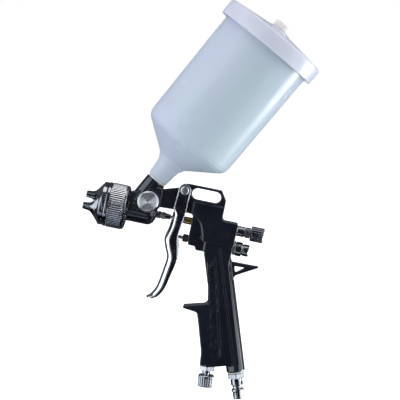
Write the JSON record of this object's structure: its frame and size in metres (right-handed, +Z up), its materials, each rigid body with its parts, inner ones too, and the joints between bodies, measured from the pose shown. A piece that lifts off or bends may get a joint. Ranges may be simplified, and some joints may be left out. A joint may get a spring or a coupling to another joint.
{
  "type": "hvlp spray gun",
  "caption": "Gravity-feed paint spray gun: metal body with trigger, twin-horn air cap, tilted translucent screw-on cup, control knobs and an air hose plug.",
  "frame": {"origin": "middle of the upper edge of the hanging slot over the grip, where a hook carries the gun", "axes": "+X back along the needle, away from the spray; +Z up along the gun's own height; +Y its far side, so the fan knob is on the -Y side"},
  "size_m": [0.1769, 0.0976, 0.3406],
  "materials": {
    "black_paint": "gloss black paint with a navy sheen",
    "chrome": "bright chrome plate",
    "dark_chrome": "dark polished plate",
    "zinc": "dull grey zinc plate",
    "brass": "turned brass",
    "steel": "turned stainless steel",
    "black_steel": "blackened steel",
    "rubber": "black nitrile rubber",
    "seal_plastic": "natural nylon or PTFE",
    "cup_plastic": "translucent milky polyethylene",
    "lid_plastic": "translucent white polyethylene"
  },
  "bodies": {
    "root": {"gun_body": "black_paint", "fluid_nozzle": "steel", "nozzle_gasket": "seal_plastic", "air_distribution_ring": "brass", "needle_packing": "seal_plastic", "packing_nut": "chrome", "needle_spring": "steel", "knob_housing": "chrome", "knob_lock_ring": "dark_chrome", "pivot_barrel": "chrome", "pivot_screw": "chrome", "air_valve_gland": "black_steel", "stem_seal": "rubber", "air_valve_spring": "steel", "plug_washer": "zinc", "air_valve_plug": "chrome", "fan_bushing": "chrome", "side_screw": "black_steel", "regulator_gland": "chrome", "inlet_adapter": "zinc", "inlet_washer": "seal_plastic", "hose_plug": "chrome"},
    "trigger": {"trigger": "chrome"},
    "needle": {"fluid_needle": "steel", "needle_sleeve": "brass", "spring_seat": "steel"},
    "air_valve": {"air_valve_stem": "steel", "air_valve_seal": "rubber"},
    "cap_wire": {"cap_snap_ring": "steel"},
    "cap_ring": {"air_cap_ring": "chrome"},
    "air_cap": {"air_cap": "dark_chrome"},
    "needle_stop": {"needle_stop": "steel"},
    "fluid_knob": {"fluid_control_knob": "chrome"},
    "fan_pin": {"fan_valve_pin": "steel", "fan_seal": "rubber"},
    "fan_knob": {"fan_control_knob": "chrome"},
    "regulator_pin": {"regulator_pin": "steel", "regulator_seal": "rubber"},
    "regulator_knob": {"regulator_knob": "chrome"},
    "cup_seal": {"cup_seal": "seal_plastic"},
    "cup": {"paint_cup": "cup_plastic"},
    "breather": {"breather_cap": "lid_plastic"},
    "lid": {"cup_lid": "lid_plastic"}
  },
  "joints": [
    {"name": "trigger_pull", "type": "hinge", "parent": "root", "child": "trigger", "pos_m": [-0.0188, 0, -0.0041], "axis": [0, -1, 0], "range_deg": [0, 10.5], "stiffness_Nm_per_rad": 2, "springref_deg": -17.19},
    {"name": "needle_travel", "type": "slide", "parent": "root", "child": "needle", "axis": [1, 0, 0], "range_m": [0, 0.0048], "deforming": ["needle_spring"]},
    {"name": "air_valve_travel", "type": "slide", "parent": "root", "child": "air_valve", "axis": [1, 0, 0], "range_m": [0, 0.0077], "deforming": ["air_valve_spring"]},
    {"name": "cap_forward", "type": "slide", "parent": "root", "child": "cap_wire", "axis": [-1, 0, 0], "range_m": [0, 0.0075]},
    {"name": "cap_ring_unscrew", "type": "hinge", "parent": "cap_wire", "child": "cap_ring", "pos_m": [-0.075, 0, -0.0296], "axis": [-1, 0, 0], "range_deg": [0, 1800]},
    {"name": "air_cap_turn", "type": "hinge", "parent": "cap_wire", "child": "air_cap", "pos_m": [-0.088, 0, -0.0296], "axis": [-1, 0, 0], "continuous": true},
    {"name": "needle_stop_travel", "type": "slide", "parent": "root", "child": "needle_stop", "axis": [1, 0, 0], "range_m": [0, 0.003]},
    {"name": "fluid_knob_turn", "type": "hinge", "parent": "needle_stop", "child": "fluid_knob", "pos_m": [0.05, 0, -0.0296], "axis": [1, 0, 0], "range_deg": [0, 1080]},
    {"name": "fan_pin_travel", "type": "slide", "parent": "root", "child": "fan_pin", "axis": [0, -1, 0], "range_m": [0, 0.0015]},
    {"name": "fan_knob_turn", "type": "hinge", "parent": "fan_pin", "child": "fan_knob", "pos_m": [-0.0475, -0.02, -0.019], "axis": [0, -1, 0], "range_deg": [0, 720]},
    {"name": "regulator_pin_travel", "type": "slide", "parent": "root", "child": "regulator_pin", "axis": [0.1045, 0, -0.9945], "range_m": [0, 0.0025]},
    {"name": "regulator_knob_turn", "type": "hinge", "parent": "regulator_pin", "child": "regulator_knob", "pos_m": [0.031, 0, -0.1504], "axis": [0.1045, 0, -0.9945], "range_deg": [0, 900]},
    {"name": "cup_lift", "type": "slide", "parent": "root", "child": "cup_seal", "axis": [0.4695, 0, 0.8829], "range_m": [0, 0.01]},
    {"name": "cup_unscrew", "type": "hinge", "parent": "cup_seal", "child": "cup", "pos_m": [-0.0452, 0, -0.0009], "axis": [0.4695, 0, 0.8829], "range_deg": [0, 1800]},
    {"name": "lid_lift", "type": "slide", "parent": "cup", "child": "breather", "axis": [0.4695, 0, 0.8829], "range_m": [0, 0.006]},
    {"name": "lid_unscrew", "type": "hinge", "parent": "breather", "child": "lid", "pos_m": [0.03367, 0, 0.14744], "axis": [0.4695, 0, 0.8829], "range_deg": [0, 540]}
  ],
  "couplings": [
    {"joint": "needle_travel", "follows": "trigger_pull", "m_per_rad": 0.0258},
    {"joint": "air_valve_travel", "follows": "trigger_pull", "m_per_rad": 0.0415},
    {"joint": "cap_ring_unscrew", "follows": "cap_forward", "rad_per_m": 4188.7},
    {"joint": "fluid_knob_turn", "follows": "needle_stop_travel", "rad_per_m": 6283.1},
    {"joint": "fan_knob_turn", "follows": "fan_pin_travel", "rad_per_m": 8377.5},
    {"joint": "regulator_knob_turn", "follows": "regulator_pin_travel", "rad_per_m": 6283.1},
    {"joint": "cup_unscrew", "follows": "cup_lift", "rad_per_m": 3141.5},
    {"joint": "lid_unscrew", "follows": "lid_lift", "rad_per_m": 1570.7}
  ]
}
